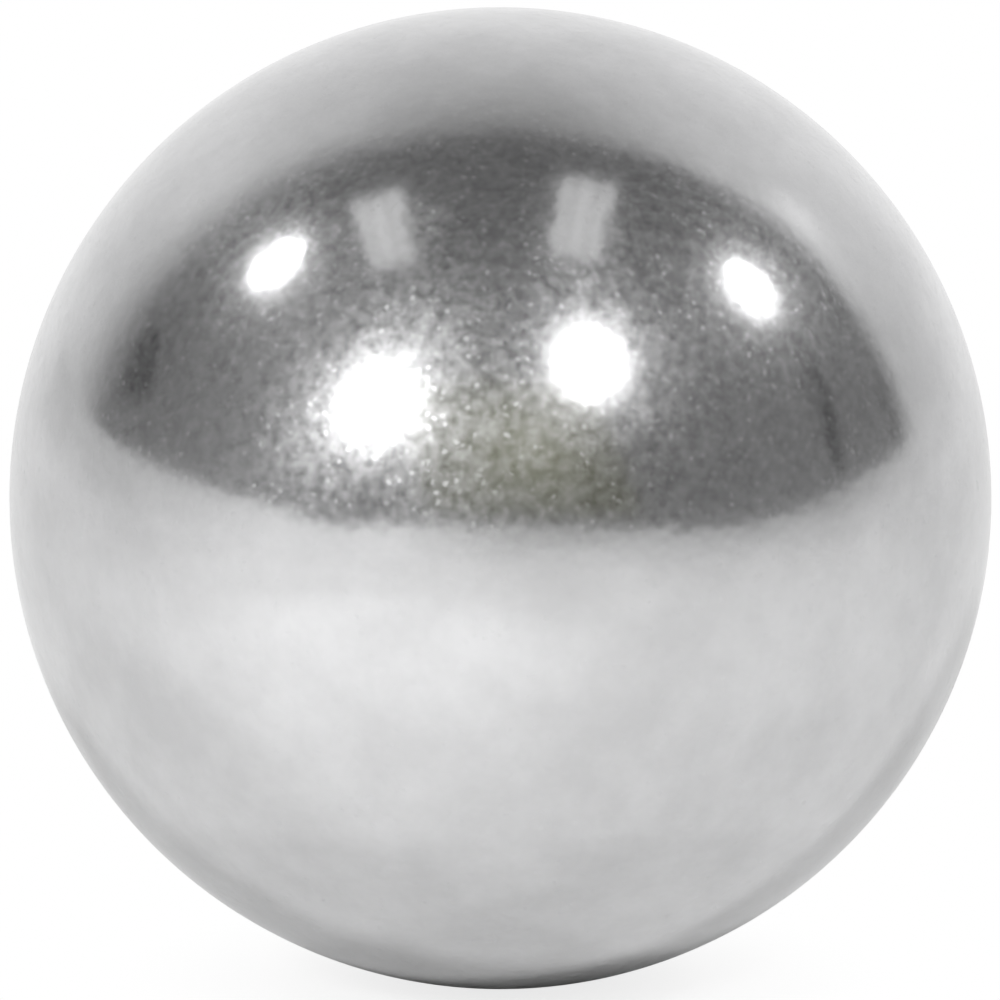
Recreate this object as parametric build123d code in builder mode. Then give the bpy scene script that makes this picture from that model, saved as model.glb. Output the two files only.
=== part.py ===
"""A solid polished steel ball, of the kind sold loose for bearings, valves, latches and bench jobs.

The real ball is cold headed from wire as one slug, flashed, hardened, ground and lapped,
so it is one piece all through: no core, no skin, no flat and no bore.
Its two poles of heading are ground away, which leaves no mark, and every diameter is the same.

Frame: the origin is the centre of the ball, with +Z up, and the ball touches
whatever it lies in at its lowest point, on -Z.
"""

import os
from math import pi

from build123d import *

# Driving dimensions, in millimetres
BALL_DIAMETER = 20.0  # a stock size
DIAMETER_SPREAD = 0.0025  # how far one diameter of a stock ball may be from another

# Steel, in grams for each cubic millimetre
STEEL_DENSITY = 7.85e-3

# Worked out from the driving dimensions
BALL_RADIUS = BALL_DIAMETER / 2
TRUE_VOLUME = pi * BALL_DIAMETER**3 / 6
TRUE_AREA = pi * BALL_DIAMETER**2
LOWEST_POINT = (0, 0, -BALL_RADIUS)

# The ball: half a disc, its straight side on the Z axis, turned once round that axis
with BuildPart() as ball:
    with BuildSketch(Plane.XZ):
        with BuildLine():
            meridian = CenterArc(center=(0, 0), radius=BALL_RADIUS, start_angle=-90, arc_size=180)
            Line(meridian @ 1, meridian @ 0)
        make_face()
    revolve(axis=Axis.Z)
ball.part.label = "ball"

os.makedirs("parts", exist_ok=True)
export_step(ball.part, "parts/ball.step")

# What a gauge and a scale would show
skin = ball.faces().sort_by(SortBy.AREA)[-1]
extent = ball.part.bounding_box().size
diameters = (extent.X, extent.Y, extent.Z)
print("solids", len(ball.solids()), "faces", len(ball.faces()), "surface", skin.geom_type)
print("diameter along X, Y and Z", [round(d, 4) for d in diameters])
print("spread of diameters", round(max(diameters) - min(diameters), 6), "of", DIAMETER_SPREAD)
print("volume against a true sphere", round(ball.part.volume / TRUE_VOLUME, 9))
print("area against a true sphere", round(ball.part.area / TRUE_AREA, 9))
print("lowest point", LOWEST_POINT, "weight in grams", round(ball.part.volume * STEEL_DENSITY, 1))
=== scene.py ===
# %% [markdown]
# # A polished steel ball
#
# The object is one solid ball of hardened steel, ground and lapped until it is a mirror.
# A mirror has hardly any colour of its own. What the eye sees is the room round it, squeezed
# into a disc, and a haze of tiny sparks where pits in the skin catch the lamps.
# So this lesson spends as much care on the room as on the ball.

import math

import bpy
import numpy as np
from mathutils import Matrix, Quaternion, Vector


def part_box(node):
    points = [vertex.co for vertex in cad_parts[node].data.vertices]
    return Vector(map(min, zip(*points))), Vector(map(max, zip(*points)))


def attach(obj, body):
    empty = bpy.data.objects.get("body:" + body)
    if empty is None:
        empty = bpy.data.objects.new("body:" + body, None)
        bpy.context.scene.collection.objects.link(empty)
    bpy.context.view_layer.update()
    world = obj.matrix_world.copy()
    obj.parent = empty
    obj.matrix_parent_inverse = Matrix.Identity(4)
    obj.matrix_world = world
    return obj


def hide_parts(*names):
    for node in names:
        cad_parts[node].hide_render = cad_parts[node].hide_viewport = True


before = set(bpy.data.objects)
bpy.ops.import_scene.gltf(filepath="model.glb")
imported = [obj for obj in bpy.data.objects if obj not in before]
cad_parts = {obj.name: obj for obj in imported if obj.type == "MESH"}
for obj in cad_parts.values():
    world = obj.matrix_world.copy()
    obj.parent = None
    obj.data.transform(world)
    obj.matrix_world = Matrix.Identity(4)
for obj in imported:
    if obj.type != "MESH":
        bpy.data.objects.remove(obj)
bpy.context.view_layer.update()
BALL_LOW, BALL_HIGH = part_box("ball")
RADIUS = (BALL_HIGH.z - BALL_LOW.z) / 2
FLOOR_HEIGHT = BALL_LOW.z
MM = 0.001
print("ball across, in mm:", round(2 * RADIUS / MM, 3), "floor at", round(FLOOR_HEIGHT / MM, 3))

# %% [markdown]
# ## The camera
#
# A sphere looks the same from everywhere, but its reflection doesn't. The dark room meets the white
# table in an almost level line just below the middle of the ball, and the ball's foot shows a thin
# shadow inside its lower edge. Both say that the camera looks down at about ten degrees.
# A long lens keeps the outline a true circle. Its focal length is worked out from how much of
# the picture the ball fills: the edge of the ball is where a ray from the camera just touches it.

# %% Place the camera
PICTURE_SIDE = 1000
SENSOR_WIDTH = 36.0
BALL_CENTRE_IN_PICTURE = (500.4, 498.2)
BALL_RADIUS_IN_PICTURE = 491.0
CAMERA_ELEVATION = math.radians(10.0)
CAMERA_DISTANCE = 20 * RADIUS
CLIP_NEAR = CAMERA_DISTANCE / 10
CLIP_FAR = CAMERA_DISTANCE * 20

touch_angle = math.asin(RADIUS / CAMERA_DISTANCE)
focal_length = BALL_RADIUS_IN_PICTURE / PICTURE_SIDE * SENSOR_WIDTH / math.tan(touch_angle)
to_camera = Vector((0, -math.cos(CAMERA_ELEVATION), math.sin(CAMERA_ELEVATION)))

camera_data = bpy.data.cameras.new("camera")
camera_data.sensor_width = SENSOR_WIDTH
camera_data.lens = focal_length
camera_data.clip_start = CLIP_NEAR
camera_data.clip_end = CLIP_FAR
camera_data.shift_x = 0.5 - BALL_CENTRE_IN_PICTURE[0] / PICTURE_SIDE
camera_data.shift_y = BALL_CENTRE_IN_PICTURE[1] / PICTURE_SIDE - 0.5
camera = bpy.data.objects.new("camera", camera_data)
camera.location = to_camera * CAMERA_DISTANCE
camera.rotation_euler = to_camera.to_track_quat("Z", "Y").to_euler()
bpy.context.scene.collection.objects.link(camera)
bpy.context.scene.camera = camera
print("lens, in mm:", round(focal_length, 1), "distance, in mm:", round(CAMERA_DISTANCE / MM))

# %% [markdown]
# ## Which way a point of the ball looks
#
# Every point of a mirror ball looks in one direction of the room. If a lamp shows at some pixel of
# the picture, then the lamp stands in the direction in which the mirror sends the camera's ray.
# That turns a place in the picture into a place in the room, with no guessing.

# %% A pixel's direction in the room
to_right = np.array([1.0, 0.0, 0.0])
to_eye = np.array(to_camera)
to_top = np.cross(to_eye, to_right)


def ray_and_normal(pixel):
    """The camera's ray through a pixel, and the ball's outward normal where it meets the ball.

    It meets the ball where its distance from the centre is one radius, which is the nearer
    root of a quadratic. The normal there points from the centre.
    """
    across = (pixel[0] - BALL_CENTRE_IN_PICTURE[0]) / BALL_RADIUS_IN_PICTURE
    up = (BALL_CENTRE_IN_PICTURE[1] - pixel[1]) / BALL_RADIUS_IN_PICTURE
    spread = math.tan(touch_angle)
    ray = across * spread * to_right + up * spread * to_top - to_eye
    ray /= np.linalg.norm(ray)
    eye = to_eye * CAMERA_DISTANCE
    half_b = eye @ ray
    reach = -half_b - math.sqrt(half_b**2 - CAMERA_DISTANCE**2 + RADIUS**2)
    return ray, (eye + reach * ray) / RADIUS


def mirrored(pixel):
    """The room's direction seen at a pixel: the ray, less twice its part along the normal."""
    ray, normal = ray_and_normal(pixel)
    return ray - 2 * (ray @ normal) * normal


def bearing(direction):
    """Degrees round from the front, right positive, and degrees above the horizon."""
    x, y, z = direction
    return math.degrees(math.atan2(x, -y)), math.degrees(math.asin(z))


print("the middle of the ball looks at", [round(a, 1) for a in bearing(mirrored((500, 498)))])

# %% [markdown]
# ## Small helpers
#
# Colours are written as sRGB hex values, as a colour picker shows them, and Blender's nodes want
# linear light. One function does that for every colour here. One more adds a node with its
# settings and its links, and one puts numpy arrays into a mesh. Two more shape brightness: one
# rounds the corners of a curve drawn through a few values, and one makes a soft step.

# %% Colour, node and mesh helpers
def linear(hex_colour):
    """An sRGB hex colour as linear red, green, blue and alpha.

    Each channel is divided by 255. A dark one is divided by 12.92, and any other is raised to
    the power 2.4 after 0.055 is added and the sum divided by 1.055.
    """
    channels = [int(hex_colour[i : i + 2], 16) / 255 for i in (1, 3, 5)]
    light = [c / 12.92 if c <= 0.04045 else ((c + 0.055) / 1.055) ** 2.4 for c in channels]
    return (*light, 1.0)


def add_node(tree, kind, settings=None, **inputs):
    """Adds one node. settings are its properties, and inputs are values or sockets by input name."""
    node = tree.nodes.new("ShaderNode" + kind)
    for name, value in (settings or {}).items():
        setattr(node, name, value)
    for name, value in inputs.items():
        socket = node.inputs[int(name[1:])] if name[1:].isdigit() else node.inputs[name.replace("_", " ")]
        if isinstance(value, bpy.types.NodeSocket):
            tree.links.new(value, socket)
        else:
            socket.default_value = value
    return node


def new_material(name):
    """An empty node material and its tree, with the output node ready to link."""
    material = bpy.data.materials.new(name)
    material.use_nodes = True
    material.node_tree.nodes.clear()
    return material, material.node_tree


def mesh_object(name, points, quads, material, values=None):
    """A smooth mesh at the origin from arrays of points and four-cornered faces.

    values are numbers for each point, stored in attributes of the mesh.
    """
    mesh = bpy.data.meshes.new(name)
    mesh.from_pydata(points.reshape(-1, 3), [], quads.reshape(-1, 4))
    mesh.polygons.foreach_set("use_smooth", np.ones(len(mesh.polygons), dtype=bool))
    for key, numbers in (values or {}).items():
        attribute = mesh.attributes.new(key, "FLOAT", "POINT")
        attribute.data.foreach_set("value", numbers.astype(np.float32).ravel())
    mesh.materials.append(material)
    made = bpy.data.objects.new(name, mesh)
    bpy.context.scene.collection.objects.link(made)
    print(name, "points", len(mesh.vertices), "faces", len(mesh.polygons))
    return made


def grid_quads(rows, columns):
    """Faces of a grid of points stored row by row: each joins a point, the next and the two above."""
    first = np.arange((rows - 1) * columns).reshape(rows - 1, columns)[:, :-1]
    return np.stack([first, first + 1, first + columns + 1, first + columns], -1).reshape(-1, 4)


ROUNDING_SAMPLES = 9


def rounded(x, places, values, width):
    """Values joined by straight lines, with the corners rounded: the mean of the lines over the width."""
    offsets = np.linspace(-0.5, 0.5, ROUNDING_SAMPLES) * width
    return np.mean([np.interp(x + offset, places, values) for offset in offsets], axis=0)


def smoothstep(low, high, x):
    """0 below low and 1 above high, with a smooth rise of 3t squared less 2t cubed between."""
    t = np.clip((x - low) / (high - low), 0, 1)
    return t * t * (3 - 2 * t)


print("the grey #808080 is", round(linear("#808080")[0], 3), "of white in linear light")

# %% [markdown]
# ## The ball's surface
#
# The real ball is ground between two iron plates and lapped, and every diameter comes out alike.
# A globe of longitudes and latitudes would crowd its faces at two poles, and a mirror shows such
# a knot at once. A cube blown up to a sphere has no poles: its faces are all about the same size.
# Equal steps of angle, not of length, keep the squares even right up to the corners of the cube.

# %% Work out the ball
SQUARES_ALONG_A_FACE = 112
STEPS_IN_A_RADIUS = 1e7


def blown_up_cube(radius, squares):
    """A sphere from the six faces of a cube, as points and faces.

    On one face of the cube the point is (1, tangent of u, tangent of v), with u and v from minus
    45 to 45 degrees in equal steps. Divided by its length and times the radius, it lies on the
    sphere. The other faces are the same one turned: the three coordinates change places in a
    circle, and for the opposite face they change sign. Points that two faces share are merged,
    which they are if they agree to a ten-millionth of the radius.
    """
    step = np.tan(np.linspace(-math.pi / 4, math.pi / 4, squares + 1))
    v, u = np.meshgrid(step, step, indexing="ij")
    face = np.stack([np.ones_like(u), u, v], -1).reshape(-1, 3)
    face *= radius / np.linalg.norm(face, axis=1, keepdims=True)
    quads = grid_quads(squares + 1, squares + 1)
    turned = [np.roll(face, turns, axis=1) for turns in range(3)]
    points = np.concatenate(turned + [-t for t in turned])
    outward = [quads + k * len(face) for k in range(3)]
    inward = [quads[:, ::-1] + k * len(face) for k in range(3, 6)]
    whole_steps = np.round(points / radius * STEPS_IN_A_RADIUS).astype(np.int64)
    _, first, merged = np.unique(whole_steps, axis=0, return_index=True, return_inverse=True)
    return points[first], merged.reshape(-1)[np.concatenate(outward + inward)]


ball_points, ball_quads = blown_up_cube(RADIUS, SQUARES_ALONG_A_FACE)
corner_a, corner_b, corner_c = (ball_points[ball_quads[:, k]] for k in range(3))
facing = np.einsum("ij,ij->i", np.cross(corner_b - corner_a, corner_c - corner_b), corner_a)
print("faces that point outwards:", int((facing > 0).sum()), "of", len(ball_quads))

# %% [markdown]
# ## Pits, dots and scuffs
#
# The ball was lapped bright and has been marked since, most likely by other balls in a box. About a
# quarter of its skin is taken up by scratches and pits far too small to be seen one by one. Each
# spreads the light of a lamp, so together they lay a pale haze round every lamp, and the mirror
# between them stays clear.
# They could be modelled as dents, but a dent a hundredth of a millimetre wide needs millions of
# faces. Here a pattern gives each point of the skin a share of pits instead.
# The share swells and shrinks with a fine grain. It is higher in dots a tenth of a millimetre or so
# wide, where pits crowd together, and they are the sparks that the eye picks out in the haze. In
# scuffs, where the ball was rubbed, the share is higher still, by a factor that each scuff has.

# %% Spread the pits
PIT_SHARE = 0.24
GRAIN_WIDTH = 0.12 * MM
GRAIN_SHARE = 0.50
DOT_SPACING = 0.19 * MM
DOT_WANDER = 0.10 * MM
DOT_SHARE = 0.40
DOT_DRAWS = (0.3, 1.0)
DOT_MIDDLE, DOT_RIM = 0.05, 0.45
NOISE_SWELL = 0.5
SCUFFS = {
    "round_left_lamp": {"pixel": (400, 400), "radius": 2.6 * MM, "crowding": 0.35},
    "above_left_lamp": {"pixel": (430, 310), "radius": 2.1 * MM, "crowding": 1.0},
    "above_right_lamp": {"pixel": (585, 270), "radius": 1.5 * MM, "crowding": 0.5},
    "beside_left_panel": {"pixel": (424, 224), "radius": 0.9 * MM, "crowding": 1.4},
    "below_the_lamps": {"pixel": (470, 460), "radius": 2.8 * MM, "crowding": 0.8},
    "left_of_left_lamp": {"pixel": (295, 455), "radius": 2.1 * MM, "crowding": 0.9},
}


def scuff_crowding(tree, place):
    """One, plus each scuff's crowding, which falls smoothly to nothing at the scuff's radius."""
    crowding = 1.0
    for scuff in SCUFFS.values():
        middle = tuple(RADIUS * ray_and_normal(scuff["pixel"])[1])
        away = add_node(tree, "VectorMath", {"operation": "DISTANCE"}, _0=place, _1=middle)
        added = add_node(
            tree, "MapRange", {"interpolation_type": "SMOOTHSTEP"}, Value=away.outputs["Value"],
            From_Max=scuff["radius"], To_Min=scuff["crowding"], To_Max=0.0,
        )
        total = add_node(tree, "Math", {"operation": "ADD"}, _0=crowding, _1=added.outputs["Result"])
        crowding = total.outputs["Value"]
    return crowding


def pit_share(tree, place):
    """The share of pits at a point: a swelling grain and the dots, added, times the scuffs' crowding.

    The swells of Blender's noise are about half a unit wide, so its scale is half over their width.
    The dots are the cells of a Voronoi pattern, whose places wander and whose strengths differ.
    """
    grain = add_node(tree, "TexNoise", Vector=place, Scale=NOISE_SWELL / GRAIN_WIDTH, Detail=1.0)
    swell = add_node(
        tree, "MapRange", Value=grain.outputs["Fac"],
        To_Min=PIT_SHARE - GRAIN_SHARE / 2, To_Max=PIT_SHARE + GRAIN_SHARE / 2,
    )
    wander = add_node(tree, "TexNoise", Vector=place, Scale=NOISE_SWELL / DOT_WANDER, Detail=0.0)
    wandered = add_node(
        tree, "VectorMath", {"operation": "MULTIPLY_ADD"},
        _0=wander.outputs["Color"], _1=(DOT_WANDER,) * 3, _2=place,
    )
    dots = add_node(tree, "TexVoronoi", Vector=wandered.outputs["Vector"], Scale=1 / DOT_SPACING)
    strength = add_node(
        tree, "MapRange", Value=dots.outputs["Color"],
        From_Min=DOT_DRAWS[0], From_Max=DOT_DRAWS[1], To_Max=DOT_SHARE,
    )
    dotted = add_node(
        tree, "MapRange", {"interpolation_type": "SMOOTHSTEP"}, Value=dots.outputs["Distance"],
        From_Min=DOT_MIDDLE, From_Max=DOT_RIM, To_Min=strength.outputs["Result"], To_Max=0.0,
    )
    share = add_node(
        tree, "Math", {"operation": "ADD"}, _0=swell.outputs["Result"], _1=dotted.outputs["Result"],
    )
    crowded = add_node(
        tree, "Math", {"operation": "MULTIPLY"},
        _0=share.outputs["Value"], _1=scuff_crowding(tree, place),
    )
    return crowded.outputs["Value"]


dot_count = 4 * math.pi * (RADIUS / DOT_SPACING) ** 2
print("scuffs on the ball:", len(SCUFFS), "dots, about:", round(dot_count))

# %% [markdown]
# ## Polished steel
#
# Hardened carbon steel reflects a little under six tenths of the light, nearly without tint, and
# more at its edge, as every metal does. Lapping leaves the mirror very slightly soft, with a ripple
# only a few thousandths of a millimetre high, and yet it bends the straight edges of what the ball
# shows. Wiping leaves faint clouds about a millimetre wide, which show best where the ball is pale.
# A mixture of two shaders could stand for mirror and pits. One metal shader does it here, because
# chance decides at every point whether the light meets the mirror or a pit, and only the roughness
# differs between them.

# %% Make the steel
MIRROR_ROUGHNESS = 0.13
PIT_ROUGHNESS = (0.26, 0.52)
PIT_DRAWS = (0.1, 0.9)
RIPPLE_WIDTH = 0.20 * MM
RIPPLE_HEIGHT = 0.0035 * MM
CLOUD_WIDTH = 1.0 * MM
CLOUD_FINENESS = 0.65
CLOUD_RANGE = (0.35, 0.65)
STEEL_IN_CLOUD = "#C4C4C5"
STEEL_CLEAR = "#CECECF"


def steel_roughness(tree, place):
    """The mirror's roughness or a pit's: a pit's where a random number is less than the share of pits.

    A second random number chooses how rough the pit is.
    """
    chance = add_node(tree, "TexWhiteNoise", {"noise_dimensions": "3D"}, Vector=place)
    pitted = add_node(
        tree, "Math", {"operation": "LESS_THAN"}, _0=chance.outputs["Value"], _1=pit_share(tree, place),
    )
    pit_roughness = add_node(
        tree, "MapRange", Value=chance.outputs["Color"], From_Min=PIT_DRAWS[0], From_Max=PIT_DRAWS[1],
        To_Min=PIT_ROUGHNESS[0], To_Max=PIT_ROUGHNESS[1],
    )
    roughness = add_node(
        tree, "MapRange", Value=pitted.outputs["Value"],
        To_Min=MIRROR_ROUGHNESS, To_Max=pit_roughness.outputs["Result"],
    )
    return roughness.outputs["Result"]


def polished_steel():
    """Lapped steel: a metal whose colour is clouded, whose normal ripples and whose pits are rough."""
    material, tree = new_material("polished_steel")
    place = add_node(tree, "TexCoord").outputs["Object"]
    clouds = add_node(
        tree, "TexNoise", Vector=place,
        Scale=NOISE_SWELL / CLOUD_WIDTH, Detail=4.0, Roughness=CLOUD_FINENESS,
    )
    cloudy = add_node(
        tree, "MapRange", Value=clouds.outputs["Fac"], From_Min=CLOUD_RANGE[0], From_Max=CLOUD_RANGE[1],
    )
    colour = add_node(
        tree, "Mix", {"data_type": "RGBA"},
        _0=cloudy.outputs["Result"], _6=linear(STEEL_IN_CLOUD), _7=linear(STEEL_CLEAR),
    )
    ripple = add_node(tree, "TexNoise", Vector=place, Scale=NOISE_SWELL / RIPPLE_WIDTH, Detail=1.0)
    rippled = add_node(tree, "Bump", Height=ripple.outputs["Fac"], Distance=RIPPLE_HEIGHT)
    steel = add_node(
        tree, "BsdfPrincipled", Base_Color=colour.outputs[2], Metallic=1.0,
        Roughness=steel_roughness(tree, place), Normal=rippled.outputs["Normal"],
    )
    add_node(tree, "OutputMaterial", Surface=steel.outputs["BSDF"])
    return material


ball = mesh_object("steel_ball", ball_points, ball_quads, polished_steel())
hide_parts("ball")
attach(ball, "root")

# %% [markdown]
# ## Paper, walls and panels that glow
#
# The studio is built of plain surfaces round the ball. They light it and they show in it, but the
# camera looks past them, so that the ball can be photographed from any side against white.
# Each gets its brightness from numbers stored on its own points, where 1 is white.

# %% A glowing stage surface
def glowing(name, warmth="#FFFFFF"):
    """A surface that gives off light as bright as its attribute named glow."""
    material, tree = new_material(name)
    glow = add_node(tree, "Attribute", {"attribute_name": "glow"})
    light = add_node(tree, "Emission", Color=linear(warmth), Strength=glow.outputs["Fac"])
    add_node(tree, "OutputMaterial", Surface=light.outputs["Emission"])
    material.cycles.emission_sampling = "NONE"
    return material


def stage_surface(name, points, glow, warmth="#FFFFFF"):
    """A grid of points in rows as part of the studio, unseen by the camera."""
    rows, columns = points.shape[:2]
    made = mesh_object(name, points, grid_quads(rows, columns), glowing(name, warmth), {"glow": glow})
    made.visible_camera = False


def towards(azimuth, elevation):
    """Unit vectors for azimuths, in degrees round from the front with right positive, and elevations."""
    a, e = np.radians(azimuth), np.radians(elevation)
    return np.stack([np.sin(a) * np.cos(e), -np.cos(a) * np.cos(e), np.sin(e) + 0 * a], -1)


# %% [markdown]
# ## The dim room
#
# Above the table the ball sees an unlit room, which makes the dark dome in its upper half. Its
# walls and ceiling are one grey shell here, a little lighter at the sides than in front. A soft
# patch of lamplight lies on the wall just above the left-hand lamp.

# %% Build the room
ROOM_RADIUS = 2.5
ROOM_GLOW = 0.13
WALL_AZIMUTHS = (-180, -120, -100, -80, -60, -30, 0, 30, 60, 90, 120, 180)
WALL_VALUES = (0.20, 0.20, 0.16, 0.22, 0.26, 0.16, 0.14, 0.13, 0.19, 0.21, 0.20, 0.20)
WALL_ROUNDING = 20
CEILING_FROM, CEILING_TO = 35, 65
SPILLS = {"above_left_lamp": {"pixel": (424, 348), "half_width": 5.0, "glow": 0.40}}


def spilled(directions, spills):
    """Round patches of light: each adds its glow times the bell curve of the angle from its middle."""
    total = 0
    for spill in spills.values():
        angle = np.degrees(np.arccos(np.clip(directions @ mirrored(spill["pixel"]), -1, 1)))
        total = total + spill["glow"] * np.exp(-((angle / spill["half_width"]) ** 2))
    return total


def room_glow(directions):
    """The room's brightness in given directions: the wall's, fading to the ceiling's, and the spills."""
    azimuth = np.degrees(np.arctan2(directions[..., 0], -directions[..., 1]))
    elevation = np.degrees(np.arcsin(np.clip(directions[..., 2], -1, 1)))
    wall = rounded(azimuth, WALL_AZIMUTHS, WALL_VALUES, WALL_ROUNDING)
    ceiling = smoothstep(CEILING_FROM, CEILING_TO, elevation)
    return wall + (ROOM_GLOW - wall) * ceiling + spilled(directions, SPILLS)


room_directions = towards(*np.meshgrid(np.linspace(-180, 180, 181), np.linspace(-20, 90, 56)))
stage_surface("room", ROOM_RADIUS * room_directions, room_glow(room_directions))

# %% [markdown]
# ## White paper behind the ball
#
# A sheet of white paper with an arched top stands in a curve behind the ball. It is bright near the
# table and fades upwards, where less light reaches it, so the dome has a soft upper edge there.
# Its arch is an ellipse drawn on a flat wall: a place on the paper is inside it where its distance
# from the middle, in half widths across and in heights upwards, is less than one.

# %% Stand the paper behind the ball
PAPER_RADIUS = 0.50
ARCH_LEFT, ARCH_RIGHT, ARCH_TOP = 1.95, 2.45, 4.4
ARCH_SOFT_LEFT, ARCH_SOFT_RIGHT, ARCH_SOFT_TOP = 14.0, 5.0, 6.0
GLOW_ELEVATIONS = (-5, 20, 32, 44, 56, 68, 80)
GLOW_VALUES = (1.04, 1.02, 0.95, 0.83, 0.69, 0.45, 0.20)
GLOW_ROUNDING = 10
CORNER_DIMMING = 0.25
CORNER_AZIMUTHS = (20, 60)
CORNER_ELEVATIONS = (15, 38)
PAPER_SPILLS = {"patch": {"pixel": (795, 217), "half_width": 4.5, "glow": 0.36}}
azimuth, elevation = np.meshgrid(np.linspace(106, 250, 145), np.linspace(-2, 80, 83))
paper_points = PAPER_RADIUS * towards(azimuth, elevation)
across, up = paper_points[..., 0] / paper_points[..., 1], paper_points[..., 2] / paper_points[..., 1]
rightness = smoothstep(-1, 1, across)
half_width = ARCH_LEFT + (ARCH_RIGHT - ARCH_LEFT) * rightness
arch = np.hypot(across / half_width, up / ARCH_TOP)
inside_by = np.degrees(np.arctan(half_width) - np.arctan(arch * half_width))
sideness = np.abs(across / half_width) / arch
side_soft = ARCH_SOFT_LEFT + (ARCH_SOFT_RIGHT - ARCH_SOFT_LEFT) * rightness
soft = ARCH_SOFT_TOP + (side_soft - ARCH_SOFT_TOP) * sideness
# The paper's lower corners are dimmed as painted shade, and one round patch of painted lamplight is added to
# it.
lower_corner = smoothstep(*CORNER_AZIMUTHS, np.abs(azimuth - 180))
lower_corner *= 1 - smoothstep(*CORNER_ELEVATIONS, elevation)
paper_glow = rounded(elevation, GLOW_ELEVATIONS, GLOW_VALUES, GLOW_ROUNDING)
paper_glow *= 1 - CORNER_DIMMING * lower_corner
paper_glow += spilled(towards(azimuth, elevation), PAPER_SPILLS)
paper_glow = ROOM_GLOW + (paper_glow - ROOM_GLOW) * smoothstep(-1, 1, inside_by / soft)
stage_surface("paper_behind", paper_points, paper_glow)

# %% [markdown]
# ## The table
#
# The floor is the same white paper, lit by the lamps, and it keeps the ball's shadow. Far from
# the ball the camera sees an even white instead, so that no horizon shows. The ball sees that far
# part too, brighter towards the left-hand lamp and duller to the right.

# %% Lay the floor
TABLE_RADIUS = 0.36
FLOOR_RINGS, FLOOR_STEPS = 40, 97
WHITE_FROM, WHITE_TO = 0.003, 0.013
GLOW_FROM, GLOW_TO = 0.05, 0.16
FAR_AZIMUTHS = (-180, -140, -100, -80, -60, -40, -20, 0, 20, 40, 60, 80, 100, 120, 140, 180)
FAR_VALUES = (
    1.02, 0.98, 0.98, 1.00, 1.22, 1.22, 1.15, 1.0, 0.92, 0.82, 0.75, 0.82, 0.88, 0.93, 0.95, 1.02,
)
FAR_ROUNDING = 15
EDGE_AZIMUTHS = (-180, -140, -82, -57, -35, -22, -12, 10, 31, 54, 66, 78, 95, 115, 180)
EDGE_DIMMING = (0, 0.3, 0.25, 0.08, 0.0, 0.05, 0.2, 0.4, 0.35, 0.2, 0.2, 0.35, 0.35, 0.1, 0)
DIMMED_FROM = 0.2
DIMMED_AT_RIM = 0.3
rings, steps = np.meshgrid(
    np.linspace(0, 1, FLOOR_RINGS) ** 2, np.linspace(-180, 180, FLOOR_STEPS), indexing="ij",
)
floor_points = towards(steps, 0 * steps) * rings[..., None] * TABLE_RADIUS
floor_points[..., 2] = FLOOR_HEIGHT
edge_dimming = rounded(steps, EDGE_AZIMUTHS, EDGE_DIMMING, FAR_ROUNDING)
floor_glow = rounded(steps, FAR_AZIMUTHS, FAR_VALUES, FAR_ROUNDING)
floor_glow *= 1 - DIMMED_AT_RIM * edge_dimming * smoothstep(DIMMED_FROM, 1.0, rings)


def table_paper():
    """Matt white paper that fades to even white with distance, for the eye and for mirrors."""
    material, tree = new_material("table_paper")
    place = add_node(tree, "TexCoord").outputs["Object"]
    distance = add_node(tree, "VectorMath", {"operation": "LENGTH"}, _0=place).outputs["Value"]
    path = add_node(tree, "LightPath")
    glow = add_node(tree, "Attribute", {"attribute_name": "glow"})
    straight = add_node(
        tree, "Math", {"operation": "MAXIMUM"},
        _0=path.outputs["Is Camera Ray"], _1=path.outputs["Is Transmission Ray"],
    )
    white = add_node(
        tree, "MapRange", {"interpolation_type": "SMOOTHSTEP"},
        Value=distance, From_Min=WHITE_FROM, From_Max=WHITE_TO, To_Max=straight.outputs["Value"],
    )
    mirrored_white = add_node(
        tree, "MapRange", {"interpolation_type": "SMOOTHSTEP"},
        Value=distance, From_Min=GLOW_FROM, From_Max=GLOW_TO, To_Max=path.outputs["Is Glossy Ray"],
    )
    share = add_node(
        tree, "Math", {"operation": "MAXIMUM"},
        _0=white.outputs["Result"], _1=mirrored_white.outputs["Result"],
    )
    strength = add_node(
        tree, "MapRange", Value=straight.outputs["Value"], To_Min=glow.outputs["Fac"], To_Max=1.0,
    )
    matt = add_node(tree, "BsdfDiffuse", Color=linear("#F7F7F7"))
    even = add_node(tree, "Emission", Color=linear("#FFFFFF"), Strength=strength.outputs["Result"])
    both = add_node(
        tree, "MixShader", _0=share.outputs["Value"], _1=matt.outputs["BSDF"], _2=even.outputs["Emission"],
    )
    add_node(tree, "OutputMaterial", Surface=both.outputs["Shader"])
    material.cycles.emission_sampling = "NONE"
    return material


floor_quads = grid_quads(FLOOR_RINGS, FLOOR_STEPS)
floor = mesh_object("floor", floor_points, floor_quads, table_paper(), {"glow": floor_glow})

# %% [markdown]
# ## The table's raised edge
#
# In front and at the sides the table's paper ends in a low raised edge, which makes the sharp
# lower line of the dome. It rises with the square of the way out, to a height that differs round
# the table, and it is dimmer towards its top in front and at the sides.

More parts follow.
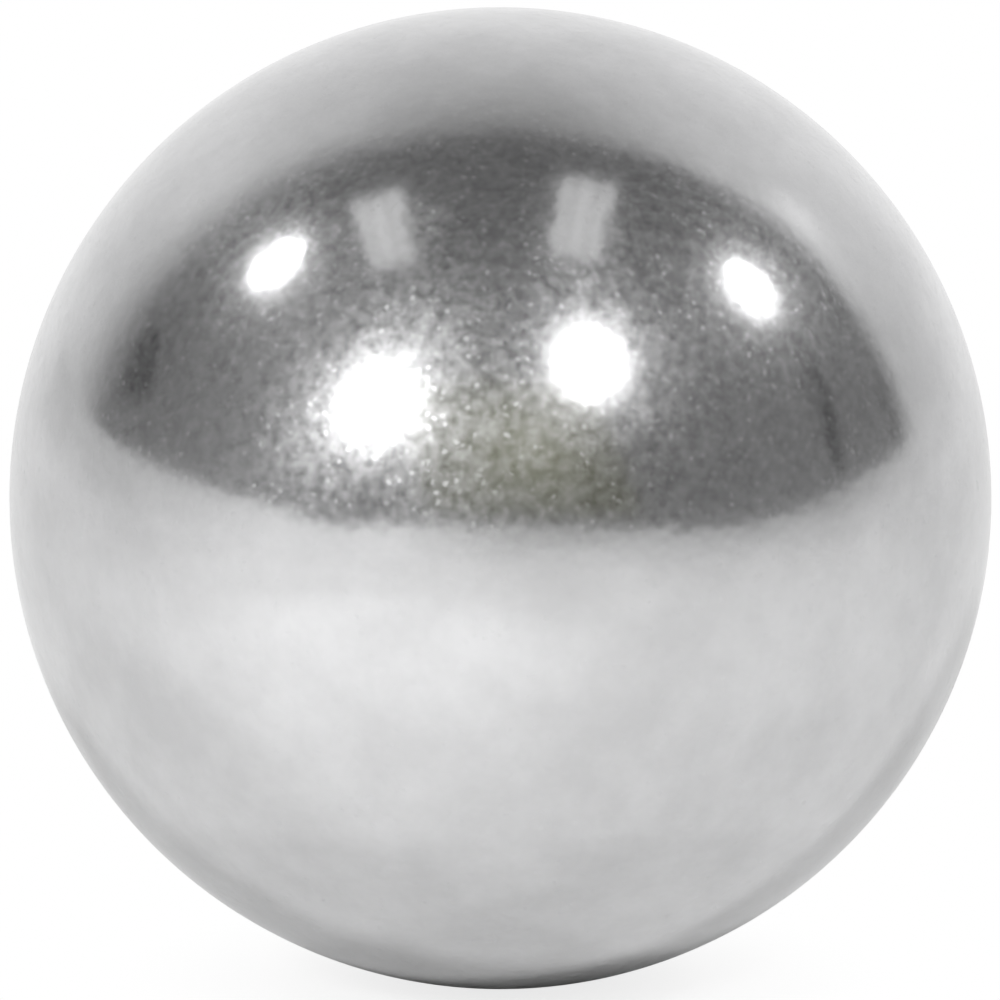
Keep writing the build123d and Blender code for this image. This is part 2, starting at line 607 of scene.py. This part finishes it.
# %% Turn up the paper's front edge
EDGE_RADIUS = 0.46
EDGE_ELEVATIONS = (6.0, 6.0, 6.0, 4.6, 1.7, 4.2, 3.4, 3.2, 2.3, -0.2, 0.2, 1.8, 3.2, 4.0, 4.0)
EDGE_ROUNDING = 12
azimuth, along = np.meshgrid(np.linspace(-140, 140, 141), np.linspace(0, 1, 9))
edge_elevation = rounded(azimuth, EDGE_AZIMUTHS, EDGE_ELEVATIONS, EDGE_ROUNDING)
edge_height = EDGE_RADIUS * np.tan(np.radians(edge_elevation))
outwards = TABLE_RADIUS + (EDGE_RADIUS - TABLE_RADIUS) * along
edge_points = towards(azimuth, 0 * azimuth) * outwards[..., None]
edge_points[..., 2] = FLOOR_HEIGHT + (edge_height - FLOOR_HEIGHT) * along**2
edge_dimming = rounded(azimuth, EDGE_AZIMUTHS, EDGE_DIMMING, FAR_ROUNDING)
edge_glow = rounded(azimuth, FAR_AZIMUTHS, FAR_VALUES, FAR_ROUNDING)
edge_glow *= 1 - edge_dimming * (DIMMED_AT_RIM + (1 - DIMMED_AT_RIM) * along)
stage_surface("paper_edge", edge_points, edge_glow)

# %% [markdown]
# ## The lamps
#
# Two large lamps stand in front and two smaller ones at the sides. Each is placed where the ball
# shows it. It looks wider in the ball than it is, because the haze next to it is white too, so its
# width was found by trying. A glowing mesh could make a lamp, but Blender aims its light better with
# an area lamp. How strong it has to be follows from how bright its face is: the power of a flat lamp
# is pi times its area times its radiance, and the area of an oval is pi times both half sizes.

# %% Hang the lamps
LAMP_DISTANCE = 0.55
LAMPS = {
    "lamp_left": {"pixel": (378, 404), "half_size": (5.0, 3.4), "turn": 0, "radiance": 92.0},
    "lamp_right": {"pixel": (588, 363), "half_size": (4.5, 5.7), "turn": 23, "radiance": 50.0},
    "lamp_far_left": {"pixel": (278, 266), "half_size": (4.6, 2.9), "turn": 0, "radiance": 27.0},
    "lamp_far_right": {"pixel": (748, 289), "half_size": (3.9, 1.8), "turn": 0, "radiance": 65.0},
}


def hang_lamp(name, pixel, half_size, turn, radiance):
    """An oval lamp in the direction seen at the pixel.

    half_size is in degrees as seen from the ball: along the circle of the picture round the
    ball's centre, and then across that circle. turn is in degrees, and turns the oval on its face.
    """
    direction = Vector(mirrored(pixel))
    along = direction.cross(to_camera).normalized()
    along.rotate(Quaternion(direction, math.radians(turn)))
    across = direction.cross(along)
    light = bpy.data.lights.new(name, "AREA")
    light.shape = "ELLIPSE"
    light.size = 2 * LAMP_DISTANCE * math.tan(math.radians(half_size[0]))
    light.size_y = 2 * LAMP_DISTANCE * math.tan(math.radians(half_size[1]))
    light.energy = math.pi * math.pi * light.size * light.size_y / 4 * radiance
    made = bpy.data.objects.new(name, light)
    made.location = direction * LAMP_DISTANCE
    made.rotation_euler = Matrix((along, across, direction)).transposed().to_euler()
    bpy.context.scene.collection.objects.link(made)
    print(name, "at", [round(a) for a in bearing(direction)], "degrees,", round(light.size, 3), "m wide")


for name, facts in LAMPS.items():
    hang_lamp(name, **facts)

# %% [markdown]
# ## Pools of light on the table
#
# The paper in front of the ball and to its left has a brighter pool, which shows in the ball's
# lower half, and fainter ones lie round it. Spotlights straight above make them with soft edges,
# and the ball doesn't see the spotlights themselves.

# %% Throw the pools of light
POOL_LIGHT_HEIGHT = 0.5
POOL_LIGHT_RADIUS = 0.005
POOLS = {
    "pool": {"centre": (-1.4, -2.85), "radius": 2.6, "power": 3.0},
    "pool_wide": {"centre": (-4.0, -4.0), "radius": 6.0, "power": 1.6},
    "pool_right": {"centre": (2.2, -2.4), "radius": 3.2, "power": 0.9},
}


def throw_pool(name, centre, radius, power):
    """A spotlight straight above a place on the floor. centre and radius are in radii of the ball."""
    light = bpy.data.lights.new(name, "SPOT")
    light.spot_size = 2 * math.atan(radius * RADIUS / POOL_LIGHT_HEIGHT)
    light.spot_blend = 1.0
    light.shadow_soft_size = POOL_LIGHT_RADIUS
    light.energy = power
    made = bpy.data.objects.new(name, light)
    made.location = Vector((*centre, -1.0)) * RADIUS + Vector((0, 0, POOL_LIGHT_HEIGHT))
    made.visible_glossy = False
    bpy.context.scene.collection.objects.link(made)
    print(name, "is", round(2 * radius * RADIUS / MM), "mm across")


for name, facts in POOLS.items():
    throw_pool(name, **facts)

# %% [markdown]
# ## Ceiling panels and small things
#
# Two dim oblong panels in the ceiling show as grey patches, each with brighter streaks along it.
# Four corners in the picture give four directions, and these are carried up to the ceiling.
# The same way gives a thin stand and a darker patch by the walls, and a dull olive board in front.

# %% Fit the panels
CEILING_HEIGHT = 1.6
PANEL_SOFT_EDGE = 0.10
PANELS = {
    "panel_left": {"corners": ((349, 202), (405, 181), (374, 277), (421, 268)), "glow": 0.92, "streaks": 3},
    "panel_right": {"corners": ((558, 173), (621, 183), (546, 262), (600, 268)), "glow": 0.86, "streaks": 3},
}
THINGS = {
    "stand": {"corners": ((802, 360), (814, 360), (832, 480), (845, 480)), "glow": 0.02, "distance": 2.0},
    # A darker patch on the left wall, dimmer than the room round it.
    "dark_patch": {"corners": ((143, 326), (168, 326), (120, 404), (150, 404)), "glow": 0.05, "distance": 2.0},
    "board": {
        "corners": ((400, 385), (590, 390), (430, 510), (640, 515)),
        "glow": 0.34, "distance": 2.0, "warmth": "#EEF0C8", "soft_edge": 0.5,
    },
}
STREAK_DEPTH = 0.38
STREAK_BEND = 0.15
PANEL_COLUMNS, PANEL_ROWS = 41, 21


def fit_panel(name, corners, glow, streaks=0, distance=None, warmth="#FFFFFF", soft_edge=PANEL_SOFT_EDGE):
    """A panel between four directions: a blend of its corners across and then along.

    Its corners lie on the ceiling, or at a distance if one is given. Near its rim the brightness
    passes into the room's own. Streaks are waves of brightness across it that bend along it.
    """
    directions = np.array([mirrored(corner) for corner in corners])
    a, b, c, d = directions * (distance or CEILING_HEIGHT / directions[:, 2:])
    across, along = np.meshgrid(np.linspace(0, 1, PANEL_COLUMNS), np.linspace(0, 1, PANEL_ROWS))
    u, v = across[..., None], along[..., None]
    points = (1 - v) * ((1 - u) * a + u * b) + v * ((1 - u) * c + u * d)
    inside = smoothstep(0, soft_edge, 0.5 - np.abs(across - 0.5))
    inside *= smoothstep(0, soft_edge, 0.5 - np.abs(along - 0.5))
    waves = np.cos((across * streaks + STREAK_BEND * np.sin(along * math.pi)) * 2 * math.pi)
    streaked = glow * (1 - STREAK_DEPTH * waves * (streaks > 0))
    outside = room_glow(points / np.linalg.norm(points, axis=-1, keepdims=True))
    stage_surface(name, points, outside + (streaked - outside) * inside, warmth)


for name, facts in (PANELS | THINGS).items():
    fit_panel(name, **facts)

# %% [markdown]
# ## The world and the film
#
# The world is white where the camera or a mirror looks straight at it, and dim otherwise, so it
# makes a white background without putting more light on the ball.

# %% Set the world
world = bpy.data.worlds.new("world")
world.use_nodes = True
world.node_tree.nodes.clear()
path = add_node(world.node_tree, "LightPath")
sees = add_node(
    world.node_tree, "Math", {"operation": "ADD", "use_clamp": True},
    _0=path.outputs["Is Camera Ray"], _1=path.outputs["Is Glossy Ray"],
)
sees = add_node(
    world.node_tree, "Math", {"operation": "ADD", "use_clamp": True},
    _0=sees.outputs["Value"], _1=path.outputs["Is Transmission Ray"],
)
strength = add_node(world.node_tree, "MapRange", Value=sees.outputs["Value"], To_Min=ROOM_GLOW, To_Max=1.0)
sky = add_node(world.node_tree, "Background", Color=linear("#FFFFFF"), Strength=strength.outputs["Result"])
add_node(world.node_tree, "OutputWorld", Surface=sky.outputs["Background"])
bpy.context.scene.world = world
bpy.context.scene.view_settings.view_transform = "Standard"
print("the world is 1 for the camera and for mirrors, and", ROOM_GLOW, "for all that is matt")
